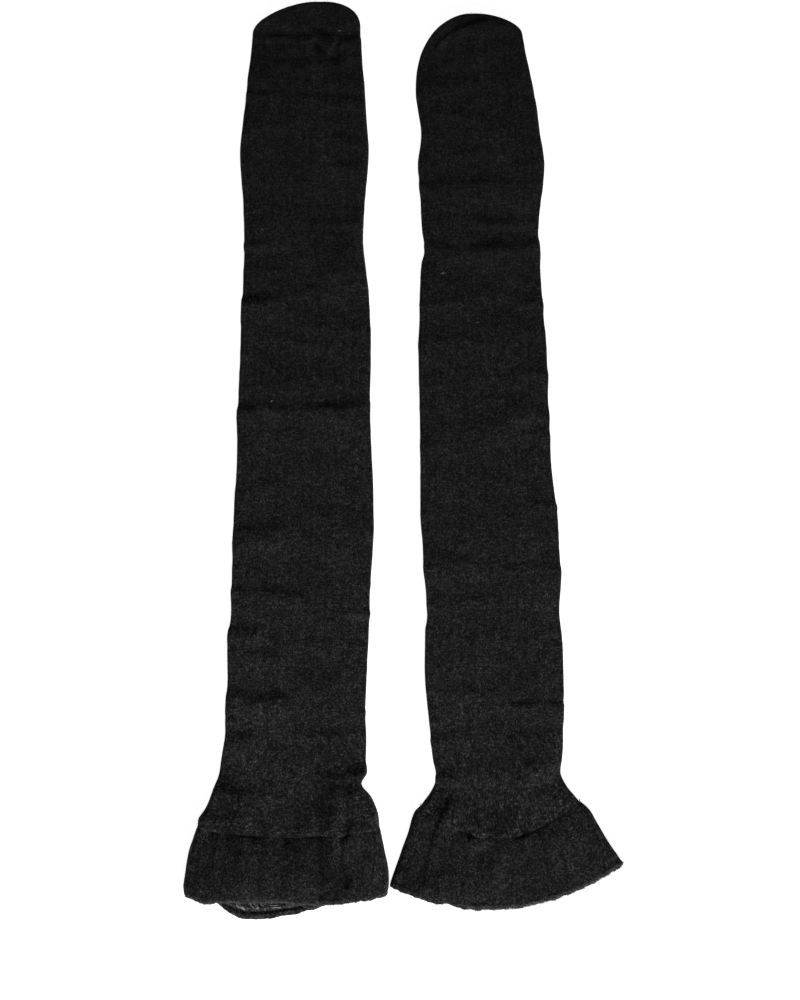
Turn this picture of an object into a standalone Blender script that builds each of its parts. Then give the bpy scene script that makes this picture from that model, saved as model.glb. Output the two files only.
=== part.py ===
"""Pair of knee-high knitted socks, lying flat side by side with their toes away from the cuffs.

Each sock is two pieces of knit: a leg and foot tube, closed at the toe, and a flared cuff band
that is turned to a double welt and linked to the tube's open end.  Both are real walls round an
empty hollow.  The socks lie on z = 0 with flat undersides; the fronts carry the folds.

X runs across the pair, +Y towards the toes, +Z up.  The origin is on the surface, in the middle
of the pair's outline.  Tables and sizes are in millimetres; "down" is the distance from the
topmost toe towards the hems, and a place across a sock is a share, 0 at its left edge, 1 at its
right edge.
"""

import math
from collections import namedtuple

import bmesh
import bpy

MM = 0.001
TOP_EDGE = 325.3  # Y of the topmost toe, where "down" is 0

LEG_WALL = 1.3
CUFF_WALL = 2.2  # two layers of the knit, the outer and the turned-in one
SEAM_GAP = 0.35  # room left between a leg and its cuff at the linking seam
LEG_FOLD_HEIGHT = 3.6  # height of the tube's folded side edges
CUFF_FOLD_HEIGHT = 6.0
LEG_CROWN_POWER = 3.0  # the higher, the closer to the edges the front reaches its full height
CUFF_CROWN_POWER = 1.6
FLARE_LENGTH = 45.0  # stretch above the seam where the tube's edges open to meet the cuff's

LEG_FRONT_POINTS = 8  # vertices across the front and the back of a ring, without its edges
LEG_BACK_POINTS = 5
CUFF_FRONT_POINTS = 23
CUFF_BACK_POINTS = 11
EDGE_ARC_STEPS = 2  # vertices round each quarter of a folded side edge
TOE_STEPS = (0.6, 2.2, 5.0, 9.0, 14.0, 20.0, 28.0, 38.0)  # rings below the toe's tip

Section = namedtuple("Section", "left left_down right right_down bow rise")
Toe = namedtuple("Toe", "tip left_depth left_power right_depth right_power")
Fold = namedtuple("Fold", "down drop start end depth width")
Pleat = namedtuple("Pleat", "across lean depth width start end")
Lip = namedtuple("Lip", "reach rise_start rise_end fall_start fall_end")
Sock = namedtuple("Sock", "name toe leg folds cuff pleats lip colour")
Profile = namedtuple("Profile", "edge_height crown_power tip_share")

LEFT_SOCK = Sock(
    name="left",
    toe=Toe(tip=-61.5, left_depth=22.0, left_power=1.7, right_depth=20.0, right_power=2.5),
    leg=(
        Section(-107.0, -0.6, -31.0, -0.6, 0.0, 5.0),
        Section(-108.5, 26.0, -31.0, 26.0, 0.0, 5.2),
        Section(-111.0, 50.0, -29.5, 50.0, 0.0, 4.8),
        Section(-114.0, 84.0, -27.5, 84.0, 0.0, 4.6),
        Section(-116.2, 106.0, -26.0, 106.0, 0.0, 4.8),
        Section(-114.7, 135.0, -28.0, 135.0, 0.0, 5.0),
        Section(-113.7, 169.0, -30.2, 169.0, 0.0, 5.0),
        Section(-114.7, 194.0, -27.5, 194.0, 0.0, 4.8),
        Section(-115.4, 212.0, -25.2, 212.0, 0.0, 4.8),
        Section(-116.8, 246.0, -23.8, 246.0, 0.0, 5.0),
        Section(-118.2, 279.0, -24.5, 279.0, 0.0, 5.4),
        Section(-118.9, 297.0, -24.9, 297.0, 0.0, 5.0),
        Section(-119.6, 331.0, -22.7, 331.0, 0.0, 4.8),
        Section(-121.8, 368.0, -21.7, 368.0, 0.0, 5.0),
        Section(-122.3, 391.0, -22.5, 391.0, 0.0, 4.8),
        Section(-123.3, 418.0, -24.5, 418.0, 0.0, 5.0),
        Section(-123.6, 435.0, -24.7, 435.0, 0.0, 5.0),
        Section(-125.7, 453.0, -25.6, 453.0, 0.0, 5.0),
        Section(-126.0, 484.0, -27.0, 484.0, 0.0, 5.0),
        Section(-127.0, 506.0, -27.8, 506.0, 0.0, 5.2),
        Section(-127.0, 522.0, -27.0, 522.0, 0.0, 5.4),
        Section(-130.5, 538.0, -27.5, 538.0, 1.0, 5.8),
        Section(-132.0, 548.0, -27.6, 548.0, 2.0, 6.2),
        Section(-134.3, 555.5, -31.4, 555.5, 3.0, 6.4),
        Section(-137.2, 564.0, -24.8, 564.0, 4.0, 6.6),
        Section(-141.8, 573.5, -20.4, 573.5, 5.0, 7.0),
        Section(-145.8, 580.0, -19.0, 580.0, 5.8, 7.2),
        Section(-146.2, 586.0, -18.6, 586.5, 6.5, 7.4),
    ),
    folds=(
        Fold(down=211.0, drop=0.0, start=-0.05, end=0.32, depth=0.9, width=4.0),
        Fold(down=286.5, drop=-2.0, start=-0.10, end=1.10, depth=1.2, width=4.0),
        Fold(down=414.0, drop=3.0, start=-0.10, end=0.55, depth=0.8, width=5.0),
        Fold(down=491.0, drop=0.0, start=-0.10, end=0.40, depth=0.9, width=6.0),
        Fold(down=548.0, drop=-4.0, start=0.70, end=1.20, depth=1.2, width=5.0),
        Fold(down=559.0, drop=0.0, start=-0.20, end=0.30, depth=1.0, width=5.0),
    ),
    cuff=(
        Section(-146.8, 586.0, -18.2, 586.5, 6.5, 8.0),
        Section(-149.5, 594.0, -16.6, 594.0, 7.0, 9.0),
        Section(-152.2, 602.0, -15.0, 602.0, 7.0, 10.6),
        Section(-155.0, 615.0, -12.4, 615.0, 6.5, 12.4),
        Section(-156.4, 627.5, -12.0, 627.0, 6.0, 13.6),
        Section(-155.6, 635.0, -13.2, 634.0, 6.0, 14.0),
    ),
    pleats=(
        Pleat(across=0.07, lean=0.00, depth=1.2, width=0.040, start=-0.2, end=0.8),
        Pleat(across=0.20, lean=-0.01, depth=0.8, width=0.035, start=0.1, end=1.4),
        Pleat(across=0.33, lean=-0.01, depth=1.1, width=0.035, start=-0.3, end=0.7),
        Pleat(across=0.50, lean=0.00, depth=1.2, width=0.040, start=-0.3, end=0.8),
        Pleat(across=0.66, lean=0.01, depth=0.8, width=0.035, start=0.0, end=1.4),
        Pleat(across=0.80, lean=0.02, depth=2.2, width=0.030, start=-0.6, end=0.6),
        Pleat(across=0.91, lean=0.00, depth=0.9, width=0.035, start=0.1, end=1.4),
    ),
    lip=Lip(reach=10.5, rise_start=0.15, rise_end=0.31, fall_start=0.34, fall_end=0.86),
    colour=(0.0105, 0.0100, 0.0098),
)

RIGHT_SOCK = Sock(
    name="right",
    toe=Toe(tip=48.5, left_depth=48.0, left_power=2.0, right_depth=14.0, right_power=1.9),
    leg=(
        Section(8.2, 7.8, 81.6, 7.8, 0.0, 5.0),
        Section(8.2, 22.0, 83.8, 22.0, 0.0, 5.2),
        Section(8.2, 41.0, 87.0, 41.0, 0.0, 5.0),
        Section(8.5, 66.0, 92.0, 66.0, 0.0, 4.8),
        Section(12.2, 94.0, 96.2, 94.0, 0.0, 4.8),
        Section(9.7, 115.0, 99.0, 115.0, 0.0, 5.0),
        Section(11.0, 135.0, 97.6, 135.0, 0.0, 5.0),
        Section(12.2, 161.0, 95.0, 161.0, 0.0, 4.8),
        Section(14.2, 176.5, 96.0, 176.5, 0.0, 5.0),
        Section(11.7, 186.0, 96.4, 186.0, 0.0, 5.0),
        Section(10.6, 221.0, 98.8, 221.0, 0.0, 4.8),
        Section(9.6, 246.0, 101.2, 246.0, 0.0, 5.0),
        Section(10.4, 280.0, 102.1, 280.0, 0.0, 4.8),
        Section(11.0, 331.0, 104.7, 331.0, 0.0, 4.8),
        Section(11.2, 366.0, 109.0, 366.0, 0.0, 5.0),
        Section(12.6, 386.0, 110.0, 386.0, 0.0, 5.2),
        Section(13.4, 402.0, 111.0, 402.0, 0.0, 5.0),
        Section(16.0, 433.0, 110.2, 433.0, 0.0, 4.8),
        Section(14.3, 453.0, 112.2, 453.0, 0.0, 5.0),
        Section(14.6, 484.0, 113.2, 484.0, 0.0, 5.0),
        Section(18.0, 517.0, 112.5, 515.0, 0.0, 5.4),
        Section(19.8, 537.0, 111.8, 535.0, 3.0, 5.8),
        Section(22.4, 551.0, 110.5, 546.5, 8.0, 6.4),
        Section(18.0, 561.5, 116.2, 558.5, 16.0, 6.8),
        Section(12.0, 570.5, 123.5, 567.0, 24.5, 7.4),
    ),
    folds=(
        Fold(down=129.0, drop=0.0, start=-0.10, end=0.28, depth=0.8, width=4.0),
        Fold(down=173.0, drop=0.0, start=-0.20, end=0.25, depth=1.0, width=4.0),
        Fold(down=173.0, drop=0.0, start=0.62, end=1.10, depth=1.1, width=4.0),
        Fold(down=394.0, drop=9.0, start=0.00, end=1.10, depth=0.9, width=6.0),
        Fold(down=497.0, drop=0.0, start=0.74, end=1.10, depth=1.1, width=4.0),
    ),
    cuff=(
        Section(11.4, 570.5, 124.2, 567.0, 24.5, 8.0),
        Section(7.2, 575.0, 130.8, 573.0, 24.5, 8.8),
        Section(3.0, 588.0, 136.4, 582.0, 24.0, 10.2),
        Section(-2.2, 602.0, 144.0, 595.0, 23.5, 11.6),
        Section(-7.2, 616.0, 150.4, 604.5, 23.0, 13.0),
        Section(-11.2, 628.0, 156.2, 612.5, 22.5, 13.6),
    ),
    pleats=(
        Pleat(across=0.06, lean=0.01, depth=1.2, width=0.030, start=0.0, end=1.4),
        Pleat(across=0.19, lean=-0.05, depth=2.4, width=0.035, start=-0.7, end=1.0),
        Pleat(across=0.36, lean=-0.03, depth=1.4, width=0.030, start=-0.3, end=0.7),
        Pleat(across=0.50, lean=0.00, depth=0.8, width=0.035, start=0.2, end=1.4),
        Pleat(across=0.63, lean=0.02, depth=1.6, width=0.030, start=-0.3, end=0.6),
        Pleat(across=0.78, lean=0.02, depth=0.8, width=0.040, start=0.0, end=1.4),
        Pleat(across=0.92, lean=0.02, depth=1.0, width=0.030, start=0.3, end=1.4),
    ),
    lip=Lip(reach=0.0, rise_start=0.2, rise_end=0.4, fall_start=0.6, fall_end=0.8),
    colour=(0.0115, 0.0110, 0.0107),
)


def clear_scene():
    for thing in list(bpy.data.objects):
        bpy.data.objects.remove(thing)


def smoothstep(low, high, value):
    share = min(1.0, max(0.0, (value - low) / (high - low)))
    return share * share * (3.0 - 2.0 * share)


def station(section):
    """How far down a section lies, at its edges' mean."""
    return 0.5 * (section.left_down + section.right_down)


def section_at(rows, down):
    """The section that a smooth curve through the rows has at this distance down."""
    places = [station(row) for row in rows]
    index = 0
    while index < len(rows) - 2 and places[index + 1] < down:
        index += 1
    span = places[index + 1] - places[index]
    share = (down - places[index]) / span
    values = []
    for column in range(len(rows[0])):
        ends = []
        for knot in (index, index + 1):
            before, after = max(knot - 1, 0), min(knot + 1, len(rows) - 1)
            slope = (rows[after][column] - rows[before][column]) / (places[after] - places[before])
            ends.append((rows[knot][column], slope * span))
        (start, start_slope), (end, end_slope) = ends
        back = share - 1.0
        values.append(
            start * (1.0 + 2.0 * share) * back * back
            + end * share * share * (1.0 - 2.0 * back)
            + start_slope * share * back * back
            + end_slope * share * share * back
        )
    return Section(*values)


def toe_share(below_tip, depth, power):
    """How much of its full reach to one side the toe has, this far below its tip."""
    if below_tip >= depth:
        return 1.0
    return (1.0 - (1.0 - max(below_tip, 0.0) / depth) ** power) ** (1.0 / power)


def toe_edges(sock, section, down, inset):
    """Left and right edge of a leg ring, with the rounded toe cut into them."""
    toe = sock.toe
    below_tip = down - station(sock.leg[0]) - inset
    left_share = toe_share(below_tip, toe.left_depth - inset, toe.left_power)
    right_share = toe_share(below_tip, toe.right_depth - inset, toe.right_power)
    left = toe.tip + (section.left + inset - toe.tip) * left_share
    right = toe.tip + (section.right - inset - toe.tip) * right_share
    return left, right


def ring_places(front_points, back_points):
    """Places round a flattened ring, as (share across, corner angle or None, is on the front).

    A side edge is an arc: its vertices have an angle from the edge, 0, up to 90 degrees, where
    the arc meets the flat.
    """
    arc = [90.0 * step / EDGE_ARC_STEPS for step in range(1, EDGE_ARC_STEPS + 1)]
    front = [(step + 1) / (front_points + 1) for step in range(front_points)]
    back = [(step + 1) / (back_points + 1) for step in range(back_points)]
    places = [(0.0, 0.0, True)]
    places += [(0.0, angle, True) for angle in arc]
    places += [(share, None, True) for share in front]
    places += [(1.0, angle, True) for angle in reversed(arc)]
    places += [(1.0, 0.0, True)]
    places += [(1.0, angle, False) for angle in arc]
    places += [(share, None, False) for share in reversed(back)]
    places += [(0.0, angle, False) for angle in reversed(arc)]
    return places


def ring(section, edges, places, profile, inset, relief, lip):
    """Points of one ring; inset is 0 on the outside and the wall's thickness on the inside.

    The section gives the course that the ring follows, and the edges where it turns back.  The
    relief lowers the front, given the share across and how far down the point lies.  The lip
    carries the back further down than the front.
    """
    edge_height, crown_power, tip_share = profile
    radius = (0.5 * edge_height - inset) * tip_share
    middle_height = 0.5 * edge_height
    left, right = edges
    points = []
    for share, angle, on_front in places:
        if angle is None:
            x = left + radius + share * (right - left - 2.0 * radius)
            up = 1.0
        else:
            turn = math.radians(angle)
            side = radius * (1.0 - math.cos(turn))
            x = left + side if share == 0.0 else right - side
            up = math.sin(turn)
        across = (x - section.left) / (section.right - section.left)
        hump = 4.0 * across * (1.0 - across)
        down = section.left_down + (section.right_down - section.left_down) * across
        down += section.bow * hump
        if on_front:
            crown = 1.0 - max(1.0 - hump, 0.0) ** crown_power
            above_edge = section.rise - edge_height - relief(across, down)
            z = middle_height + up * radius + above_edge * crown * up * tip_share
        else:
            z = middle_height - up * radius
            down += lip(across) * up
        points.append((x * MM, (TOP_EDGE - down) * MM, z * MM))
    return points


def fold_relief(folds):
    """How deep the cross folds press the front in, as a function of a place on it."""

    def relief(across, down):
        total = 0.0
        for fold in folds:
            middle = fold.down + fold.drop * (across - 0.5)
            reach = smoothstep(fold.start, fold.start + 0.15, across)
            reach *= 1.0 - smoothstep(fold.end - 0.15, fold.end, across)
            total += fold.depth * reach * math.exp(-(((down - middle) / fold.width) ** 2))
        return total

    return relief


def pleat_relief(pleats, along):
    """How deep the pleats press the front in at this share of the way from seam to hem."""

    def relief(across, _down):
        total = 0.0
        for pleat in pleats:
            middle = pleat.across + pleat.lean * along
            reach = smoothstep(pleat.start, pleat.start + 0.3, along)
            reach *= 1.0 - smoothstep(pleat.end - 0.4, pleat.end, along)
            total += pleat.depth * reach * math.exp(-(((across - middle) / pleat.width) ** 2))
        return total

    return relief


def lip_reach(lip, along):
    """How much further down the back layer lies than the front one."""

    def reach(across):
        shape = smoothstep(lip.rise_start, lip.rise_end, across)
        shape *= 1.0 - smoothstep(lip.fall_start, lip.fall_end, across)
        return lip.reach * shape * along * along

    return reach


def no_lip(_across):
    return 0.0


def leg_stations(sock):
    """Distances down at which the tube has a ring: toe, sections and both sides of each fold."""
    tip = station(sock.leg[0])
    places = {tip + step for step in TOE_STEPS}
    places |= {station(row) for row in sock.leg if station(row) > tip + TOE_STEPS[-1] + 6.0}
    for fold in sock.folds:
        near = {fold.down - 1.6 * fold.width, fold.down, fold.down + 1.6 * fold.width}
        last = station(sock.leg[-1]) - 4.0
        near = {place for place in near if place < last}
        crowded = {
            place
            for place in places
            if place != station(sock.leg[-1]) and min(abs(place - new) for new in near) < 3.5
        }
        places = (places - crowded) | near
    return sorted(places)


def leg_rings(sock, inset):
    """The tube's rings from toe to seam, its outside or, with an inset, its inside."""
    places = ring_places(LEG_FRONT_POINTS, LEG_BACK_POINTS)
    tip = station(sock.leg[0])
    seam = station(sock.leg[-1])
    relief = fold_relief(sock.folds)
    rings = []
    for down in leg_stations(sock):
        inner_down = tip + inset + (down - tip) * (seam - tip - inset) / (seam - tip)
        section = section_at(sock.leg, inner_down)
        edges = toe_edges(sock, section, inner_down, inset)
        below_tip = min((down - tip) / (0.5 * LEG_FOLD_HEIGHT), 1.0)
        tip_share = math.sqrt(1.0 - (1.0 - below_tip) ** 2)
        opening = smoothstep(seam - FLARE_LENGTH, seam, down)
        height = LEG_FOLD_HEIGHT + (CUFF_FOLD_HEIGHT - LEG_FOLD_HEIGHT) * opening
        profile = Profile(height, LEG_CROWN_POWER, tip_share)
        rings.append(ring(section, edges, places, profile, inset, relief, no_lip))
    return rings


def cuff_rings(sock, inset):
    """The band's rings from the seam to the hem."""
    places = ring_places(CUFF_FRONT_POINTS, CUFF_BACK_POINTS)
    first, last = station(sock.cuff[0]) + SEAM_GAP, station(sock.cuff[-1])
    count = len(sock.cuff) + 2
    profile = Profile(CUFF_FOLD_HEIGHT, CUFF_CROWN_POWER, tip_share=1.0)
    rings = []
    for step in range(count):
        along = step / (count - 1)
        section = section_at(sock.cuff, first + (last - first) * along)
        edges = (section.left + inset, section.right - inset)
        relief = pleat_relief(sock.pleats, along)
        lip = lip_reach(sock.lip, along)
        rings.append(ring(section, edges, places, profile, inset, relief, lip))
    return rings


def walled_tube(name, outside, inside, closed_start, colour):
    """One closed solid: a wall between two lofts, open at its end and closed or open at its start."""
    mesh = bmesh.new()
    outer = [[mesh.verts.new(point) for point in points] for points in outside]
    inner = [[mesh.verts.new(point) for point in points] for points in inside]
    bands = list(zip(outer, outer[1:])) + list(zip(inner[1:], inner))
    bands.append((outer[-1], inner[-1]))
    if closed_start:
        mesh.faces.new(outer[0])
        mesh.faces.new(list(reversed(inner[0])))
    else:
        bands.append((inner[0], outer[0]))
    for near, far in bands:
        for index in range(len(near)):
            after = (index + 1) % len(near)
            mesh.faces.new((near[index], far[index], far[after], near[after]))
    bmesh.ops.recalc_face_normals(mesh, faces=mesh.faces)
    data = bpy.data.meshes.new(name)
    mesh.to_mesh(data)
    mesh.free()
    data.shade_smooth()
    data.set_sharp_from_angle(angle=math.radians(60.0))
    data.materials.append(knit_material(name, colour))
    piece = bpy.data.objects.new(name, data)
    bpy.context.scene.collection.objects.link(piece)
    return piece


def knit_material(name, colour):
    """Charcoal wool knit."""
    material = bpy.data.materials.new(name + "_knit")
    material.use_nodes = True
    shader = material.node_tree.nodes["Principled BSDF"]
    shader.inputs["Base Color"].default_value = (*colour, 1.0)
    shader.inputs["Roughness"].default_value = 0.95
    shader.inputs["Metallic"].default_value = 0.0
    return material


def build_sock(sock):
    walled_tube(
        "leg_" + sock.name,
        leg_rings(sock, 0.0),
        leg_rings(sock, LEG_WALL),
        closed_start=True,
        colour=sock.colour,
    )
    walled_tube(
        "cuff_" + sock.name,
        cuff_rings(sock, 0.0),
        cuff_rings(sock, CUFF_WALL),
        closed_start=False,
        colour=sock.colour,
    )


clear_scene()
for each_sock in (LEFT_SOCK, RIGHT_SOCK):
    build_sock(each_sock)
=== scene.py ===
"""Looks of a pair of charcoal wool knee-high socks, laid flat side by side.

Every piece that shows is built here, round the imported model: four walled knit shells on the forms
of the CAD tubes, with their ribs, creases, pleats and rolled hems, and the linking stitches, nap,
loose fibres and lint that lie on them.

Tables and sizes are in millimetres.  "x" runs across the pair, "down" is the distance from the
topmost toe towards the hems, and z is the height above the floor.  A share across a sock is 0 at
its left edge and 1 at its right edge.
"""

import math
from collections import namedtuple

import bpy
import numpy as np
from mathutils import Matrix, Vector
from mathutils.bvhtree import BVHTree


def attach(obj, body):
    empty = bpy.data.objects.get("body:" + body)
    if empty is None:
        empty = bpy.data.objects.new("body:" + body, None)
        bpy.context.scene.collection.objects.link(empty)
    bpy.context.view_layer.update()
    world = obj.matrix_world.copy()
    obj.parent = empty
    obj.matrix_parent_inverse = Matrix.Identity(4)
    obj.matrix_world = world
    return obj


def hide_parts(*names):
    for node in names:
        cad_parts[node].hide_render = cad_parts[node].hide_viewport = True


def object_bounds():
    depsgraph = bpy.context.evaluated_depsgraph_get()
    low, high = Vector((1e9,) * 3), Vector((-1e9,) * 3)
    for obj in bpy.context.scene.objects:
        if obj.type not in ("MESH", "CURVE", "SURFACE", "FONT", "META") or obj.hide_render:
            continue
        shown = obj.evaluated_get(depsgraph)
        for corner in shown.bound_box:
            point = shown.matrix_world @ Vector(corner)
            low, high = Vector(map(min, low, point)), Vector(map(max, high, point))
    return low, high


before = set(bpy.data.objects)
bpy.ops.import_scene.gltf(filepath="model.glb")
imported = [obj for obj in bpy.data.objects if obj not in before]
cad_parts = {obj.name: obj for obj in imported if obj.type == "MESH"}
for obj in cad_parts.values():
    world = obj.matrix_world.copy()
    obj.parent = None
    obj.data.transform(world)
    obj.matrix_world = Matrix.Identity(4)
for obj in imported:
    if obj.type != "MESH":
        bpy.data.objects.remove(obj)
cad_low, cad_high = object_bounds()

MM = 0.001
TOP_EDGE = cad_high.y / MM  # Y of the topmost toe, where "down" is 0

# Forms of the tubes, as the CAD solids have them, with a softer crown.
LEG_WALL = 1.3
CUFF_WALL = 2.2
LEG_FOLD_HEIGHT = 3.6
CUFF_FOLD_HEIGHT = 6.0
LEG_CROWN_POWER = 1.5
CUFF_CROWN_POWER = 1.6
FLARE_LENGTH = 45.0

# The knit.
WALES_ACROSS = 66  # columns of stitches across one flat side of a tube
EDGE_WALES = 2  # columns round each quarter of a folded side edge
RIB_WALES = 4  # columns from one rib's groove to the next
COURSE = 1.05  # height of a row of stitches
RIB_DEPTH = 0.16
CUFF_RIBS = 1.3  # how much deeper the cuff's ribs are than the leg's

# How finely the shells are divided.
LEG_STEP = 1.72  # from one ring to the next
CUFF_STEP = 1.0
HEM_BAND = 9.0  # the part above a hem that has twice as many rings
TOE_STEPS = (0.02, 0.15, 0.45, 0.9, 1.5, 2.3, 3.3, 4.5, 6.0, 7.6)  # rings below the toe's tip
RIM_STEPS = 6  # rings round a rolled edge

# How the leg is linked to the cuff.
TUCK_LENGTH = 1.4  # how far a leg's end runs on under its cuff
TUCK_INSET = 0.5
SEAM_WIDTH = 3.4
SEAM_STEP = 0.6  # how much thicker the cuff is than the leg
GATHER_DEPTH = 0.40
GATHER_REACH = 7.0
PLEAT_SHARE = 0.4  # how much of a CAD pleat's depth is left once the cloth's swells are on it

# Creases and swells.
HIGHEST_SWELL = 9.0
LOWEST_FRONT = -1.7
LOWEST_BACK = -0.8
SIDEWAYS = 0.9  # the most that a folded side edge moves sideways
# Painted shade: a valley this deep gets the darkest painted shade in the knit's colour.
FULL_SHADE_DEPTH = 1.6  # depth from which a valley is as dark as it gets
BACK_SHIFT = 31.0  # along x, so that the seam's gathers differ at the back
SMALL_CREASES = 90
SMALL_BACK_CREASES = 40
CREASE_WAVES = (5.5, 2.1, 8.0, 7.0, 2.7)  # unevenness along a crease: two of place, width, heights

Section = namedtuple("Section", "left left_down right right_down bow rise")
Toe = namedtuple("Toe", "tip left_depth left_power right_depth right_power")
Pleat = namedtuple("Pleat", "across lean depth width start end")
Lip = namedtuple("Lip", "reach rise_start rise_end fall_start fall_end")
Crease = namedtuple("Crease", "x down angle length height width fall bend", defaults=(0.0,))
Swell = namedtuple("Swell", "height stretch size seed")
Coat = namedtuple("Coat", "name seed count lowest to_hem length radius lift")
Fibre = namedtuple("Fibre", "x down angle length bend")
Nick = namedtuple("Nick", "x reach width")
Sock = namedtuple(
    "Sock",
    "name seed toe leg cuff pleats lip creases back_creases nicks rub seam_depths "
    "fringe lint loose in_mouth toe_seam cuts",
)
Places = namedtuple("Places", "share turn side wale")
Yarns = namedtuple("Yarns", "leg cuff thread fibres pale stray fuzz")


def table(kind, *rows):
    """Rows of numbers with the columns that the kind names."""
    return tuple(kind(*row) for row in rows)


def section_row(down, left, right, rise, bow=0.0, right_drop=0.0):
    """A tube's section; its right edge may lie further down than its left edge."""
    return Section(left, down, right, down + right_drop, bow, rise)


# A crease is a ridge whose crest runs through (x, down) at an angle from +x towards "down".  It
# rises over its width on the toe side, and falls over "fall" times that on the other.  Its ends
# bend towards the hem.
LEFT_CREASES = table(
    Crease,
    (-68, 26, 0, 130, -0.7, 11, 2.8),
    (-80, 26.2, 1, 44, 0.85, 2.1, 1.7),
    (-103, 26, -2, 22, 0.36, 1.8, 1.3),
    (-41, 27.4, 0, 38, 1.35, 2.8, 2.6),
    (-60, 19.4, 27, 18, -0.75, 1.5, 1.6),
    (-76, 16.5, 8, 24, 0.3, 2.2, 2.1, 1),
    (-60.4, 31.6, 40, 15, -1.6, 1.7, 1.4),
    (-48.8, 30.6, -50, 13, -1.2, 1.6, 1.6),
    (-46.8, 35.8, -37, 20, -1.3, 2, 1.8),
    (-36, 38, 4, 30, 0.8, 7, 1),
    (-52.5, 32.2, 6, 9, 0.6, 1.6, 1.2),
    (-70, 84, 0, 170, 1.2, 28, 2.2),
    (-60, 44, -8, 24, 0.45, 2.2, 1.6),
    (-74, 48, 0, 22, 0.3, 1.8, 1.6),
    (-44, 57, -8, 34, 0.3, 2.6, 2.1),
    (-101, 66, 2, 34, 0.42, 2.2, 2.6),
    (-96, 89, -3, 52, 0.42, 3.2, 2.6),
    (-52, 118, 3, 48, 0.36, 3, 2.1),
    (-92, 148, 2, 60, 0.42, 3.4, 2.6),
    (-106, 173.4, 0, 38, 0.6, 2.2, 2.3),
    (-34, 200.2, -10, 36, 0.5, 2.2, 2.2),
    (-107, 213.4, 1, 48, 1.9, 3.6, 3),
    (-40, 183, -8, 56, 2.6, 26, 1.2),
    (-62, 243, -4, 52, 0.36, 3, 2.3),
    (-115, 290.8, 0, 60, 1.5, 5.6, 1.9),
    (-76, 290.4, -1, 56, 0.85, 5.8, 2.2),
    (-42, 289.8, -2, 62, 2.1, 5.4, 3.8),
    (-58, 331, 4, 54, 0.36, 3.2, 2.3),
    (-105, 376.6, 2, 50, 1.2, 3.8, 3.2),
    (-46, 388, -4, 44, 0.36, 2.6, 2.3),
    (-101, 420, 3, 84, 1.15, 3, 4.6),
    (-31, 433.6, 0, 46, 0.9, 1.9, 2.6),
    (-115, 448, 10, 38, 1.25, 4.2, 2.6),
    (-101, 465, 8, 48, 1.1, 4.2, 2.6),
    (-34, 474, -6, 34, 0.54, 2.4, 2.1),
    (-104, 497, 5, 70, 2, 5.4, 2.6),
    (-31, 503.6, 0, 24, 0.66, 2.2, 1.8),
    (-119, 524, 12, 40, 1.4, 5.4, 2.6),
    (-60, 522, 3, 60, 0.48, 3.6, 2.6),
    (-116, 562.6, 1, 66, 1.7, 5.6, 3.4),
    (-85, 640, 0, 250, 1.5, 52, 1),
    (-110, 592, 0, 96, 3, 15, 3),
    (-110, 607, 0, 96, 1.3, 12, 3.5),
    (-43, 593, 0, 76, 4, 18, 3),
    (-8, 636, 0, 116, 5, 22, 1),
    (-28, 640, 0, 76, 1.6, 14, 1),
    (-41, 566, -4, 46, 3.2, 16, 2.8),
    (-35, 550.8, -1, 42, 3, 5.4, 4.2),
    (-48, 566, -66, 26, 0.8, 4.4, 2),
    (-139, 580, 6, 24, 0.5, 2.8, 1.6),
    (-50.6, 580.5, -82, 20, 1.15, 3.4, 3),
    (-53, 577, 2, 20, 0.6, 3, 3),
    (-40.8, 581.5, 80, 28, -1.2, 1.3, 3),
)
LEFT_BACK_CREASES = table(
    Crease,
    (-70, 60, 3, 60, -0.35, 2.2, 1.6),
    (-40, 128, -6, 50, -0.4, 2.4, 1.6),
    (-108, 209, 4, 60, -0.7, 3, 1.5),
    (-66, 287, 2, 130, -0.75, 3.4, 1.4),
    (-34, 352, -5, 54, -0.45, 2.4, 1.6),
    (-110, 415, 5, 66, -0.6, 2.8, 1.5),
    (-60, 470, 8, 70, -0.45, 2.8, 1.8),
    (-36, 549, -4, 50, -0.8, 3, 1.2),
    (-112, 560, 6, 56, -0.65, 3.2, 1.4),
)
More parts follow.
